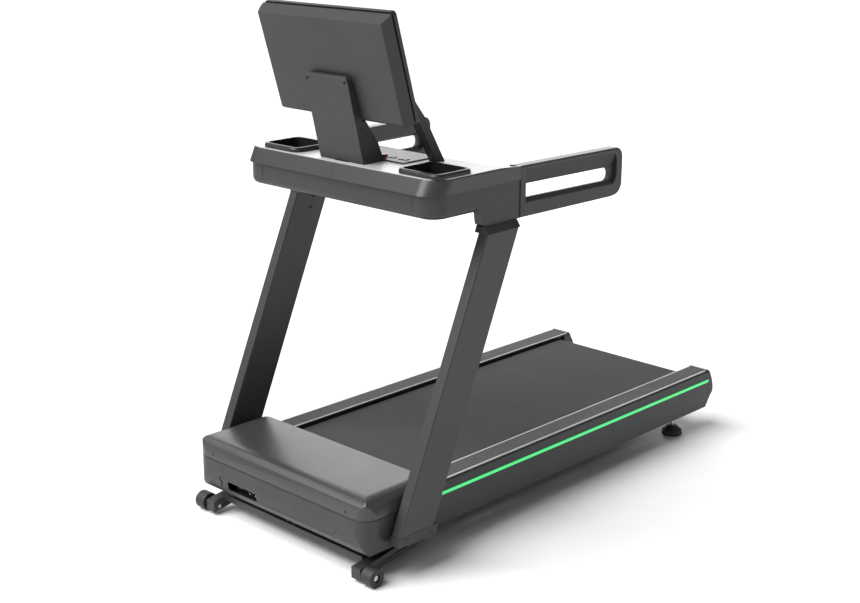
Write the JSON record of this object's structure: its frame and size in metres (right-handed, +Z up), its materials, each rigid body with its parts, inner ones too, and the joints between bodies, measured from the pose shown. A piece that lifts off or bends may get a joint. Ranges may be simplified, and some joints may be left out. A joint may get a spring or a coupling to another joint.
{
  "type": "treadmill",
  "caption": "Motorised treadmill with a cushioned running belt, powered incline, leaning uprights, console with handrail arms and cup holders, and a mast-mounted display.",
  "frame": {"origin": "on the floor under the middle of the machine's bounding box", "axes": "+Z up, +Y forward towards the motor hood and console, +X to the runner's right"},
  "size_m": [0.9454, 1.916, 1.7331],
  "materials": {
    "cover_plastic": "fine textured dark grey",
    "light_strip": "glowing green diffuser",
    "mat_rubber": "ribbed anti-slip",
    "trim_plastic": "light grey satin",
    "cap_plastic": "satin dark grey",
    "frame_paint": "black powder coat",
    "deck_wood": "waxed fibreboard",
    "cushion_rubber": "matt",
    "belt_rubber": "fine diamond grain",
    "steel": "turned",
    "screw_black": "black oxide",
    "hood_plastic": "semi-gloss dark grey",
    "hood_base_plastic": "textured dark grey",
    "inlet_plastic": "black",
    "rocker_plastic": "black, white mark",
    "motor_paint": "black enamel",
    "drive_rubber": "ribbed",
    "controller_aluminium": "extruded",
    "post_paint": "fine satin dark grey powder coat",
    "console_plastic": "textured dark grey",
    "console_top_plastic": "semi-gloss grey",
    "arm_plastic": "fine textured dark grey",
    "cup_plastic": "satin black",
    "panel_plastic": "black, plain light key surrounds",
    "key_plastic": "satin light grey",
    "stop_plastic": "red",
    "mast_plastic": "fine textured dark grey",
    "screen_plastic": "fine textured dark grey",
    "bezel_plastic": "black",
    "screen_glass": "dark cover glass",
    "grip_plastic": "soft black",
    "pulse_steel": "polished",
    "wheel_rubber": "solid rubber",
    "foot_rubber": "moulded"
  },
  "bodies": {
    "feet": {"foot_pads": "foot_rubber"},
    "chassis": {"side_covers": "cover_plastic", "led_strips": "light_strip", "rail_mats": "mat_rubber", "rail_trims": "trim_plastic", "end_caps": "cap_plastic", "main_frame": "frame_paint", "cross_members": "frame_paint", "front_frame": "frame_paint", "deck_board": "deck_wood", "deck_cushions": "cushion_rubber", "running_belt": "belt_rubber", "roller_shafts": "steel", "tension_bolts": "steel", "hood_upper": "hood_plastic", "hood_lower": "hood_base_plastic", "cover_screws": "screw_black", "power_inlet": "inlet_plastic", "drive_motor": "motor_paint", "drive_belt": "drive_rubber", "motor_controller": "controller_aluminium", "upright_l": "post_paint", "upright_r": "post_paint", "foot_covers": "cover_plastic", "console_base": "console_plastic", "collars": "console_plastic", "console_top_l": "console_top_plastic", "console_top_r": "console_top_plastic", "cup_holders": "cup_plastic", "arm_l": "arm_plastic", "arm_r": "arm_plastic", "key_panel": "panel_plastic", "mast_front": "mast_plastic", "mast_back": "mast_plastic", "mast_tube": "frame_paint", "display_back": "screen_plastic", "display_bezel": "bezel_plastic", "display_glass": "screen_glass", "display_module": "bezel_plastic", "grip_bar": "grip_plastic", "pulse_plates": "pulse_steel", "foot_stems": "steel"},
    "lift": {"lift_frame": "frame_paint", "lift_plugs": "cap_plastic", "wheel_axles": "steel"},
    "wheel_left": {"wheel_l": "wheel_rubber"},
    "wheel_right": {"wheel_r": "wheel_rubber"},
    "actuator": {"lift_actuator": "motor_paint"},
    "actuator_rod": {"lift_rod": "steel"},
    "front_roller": {"front_roller": "steel"},
    "rear_roller": {"rear_roller": "steel"},
    "motor_rotor": {"motor_rotor": "steel"},
    "power_rocker": {"power_rocker": "rocker_plastic"},
    "emergency_stop": {"emergency_stop": "stop_plastic"},
    "key_incline_down": {"key_incline_down": "key_plastic"},
    "key_incline_up": {"key_incline_up": "key_plastic"},
    "key_stop": {"key_stop": "key_plastic"},
    "key_start": {"key_start": "key_plastic"},
    "key_speed_down": {"key_speed_down": "key_plastic"},
    "key_speed_up": {"key_speed_up": "key_plastic"}
  },
  "joints": [
    {"name": "incline", "type": "hinge", "parent": "feet", "child": "chassis", "pos_m": [0, -0.7825, 0.034], "axis": [1, 0, 0], "range_deg": [0, 5.71]},
    {"name": "lift_swing", "type": "hinge", "parent": "chassis", "child": "lift", "pos_m": [0, 0.636, 0.078], "axis": [1, 0, 0], "range_deg": [-37, 0]},
    {"name": "wheel_left_spin", "type": "hinge", "parent": "lift", "child": "wheel_left", "pos_m": [-0.4163, 0.9271, 0.0309], "axis": [1, 0, 0], "continuous": true},
    {"name": "wheel_right_spin", "type": "hinge", "parent": "lift", "child": "wheel_right", "pos_m": [0.4163, 0.9271, 0.0309], "axis": [1, 0, 0], "continuous": true},
    {"name": "actuator_swing", "type": "hinge", "parent": "chassis", "child": "actuator", "pos_m": [0, 0.868, 0.256], "axis": [1, 0, 0], "range_deg": [-10.8, 0]},
    {"name": "actuator_extend", "type": "slide", "parent": "actuator", "child": "actuator_rod", "axis": [0, 0.1059, -0.9944], "range_m": [0, 0.152]},
    {"name": "front_roller_spin", "type": "hinge", "parent": "chassis", "child": "front_roller", "pos_m": [0, 0.7, 0.1879], "axis": [1, 0, 0], "continuous": true},
    {"name": "rear_roller_spin", "type": "hinge", "parent": "chassis", "child": "rear_roller", "pos_m": [0, -0.85, 0.1879], "axis": [1, 0, 0], "continuous": true},
    {"name": "motor_spin", "type": "hinge", "parent": "chassis", "child": "motor_rotor", "pos_m": [0.28, 0.85, 0.165], "axis": [1, 0, 0], "continuous": true},
    {"name": "power_rocker_tilt", "type": "hinge", "parent": "chassis", "child": "power_rocker", "pos_m": [0.227, 0.919, 0.139], "axis": [1, 0, 0], "range_deg": [-14, 0]},
    {"name": "emergency_stop_press", "type": "slide", "parent": "chassis", "child": "emergency_stop", "axis": [0, 0, -1], "range_m": [0, 0.004], "stiffness_N_per_m": 800},
    {"name": "key_incline_down_press", "type": "slide", "parent": "chassis", "child": "key_incline_down", "axis": [0, 0, -1], "range_m": [0, 0.0015], "stiffness_N_per_m": 800},
    {"name": "key_incline_up_press", "type": "slide", "parent": "chassis", "child": "key_incline_up", "axis": [0, 0, -1], "range_m": [0, 0.0015], "stiffness_N_per_m": 800},
    {"name": "key_stop_press", "type": "slide", "parent": "chassis", "child": "key_stop", "axis": [0, 0, -1], "range_m": [0, 0.0015], "stiffness_N_per_m": 800},
    {"name": "key_start_press", "type": "slide", "parent": "chassis", "child": "key_start", "axis": [0, 0, -1], "range_m": [0, 0.0015], "stiffness_N_per_m": 800},
    {"name": "key_speed_down_press", "type": "slide", "parent": "chassis", "child": "key_speed_down", "axis": [0, 0, -1], "range_m": [0, 0.0015], "stiffness_N_per_m": 800},
    {"name": "key_speed_up_press", "type": "slide", "parent": "chassis", "child": "key_speed_up", "axis": [0, 0, -1], "range_m": [0, 0.0015], "stiffness_N_per_m": 800}
  ],
  "couplings": [
    {"joint": "lift_swing", "follows": "incline", "ratio": -6.3276},
    {"joint": "actuator_swing", "follows": "incline", "ratio": -1.7335},
    {"joint": "actuator_extend", "follows": "incline", "m_per_rad": 1.5168},
    {"joint": "rear_roller_spin", "follows": "front_roller_spin", "ratio": 1},
    {"joint": "motor_spin", "follows": "front_roller_spin", "ratio": 1.7273}
  ]
}
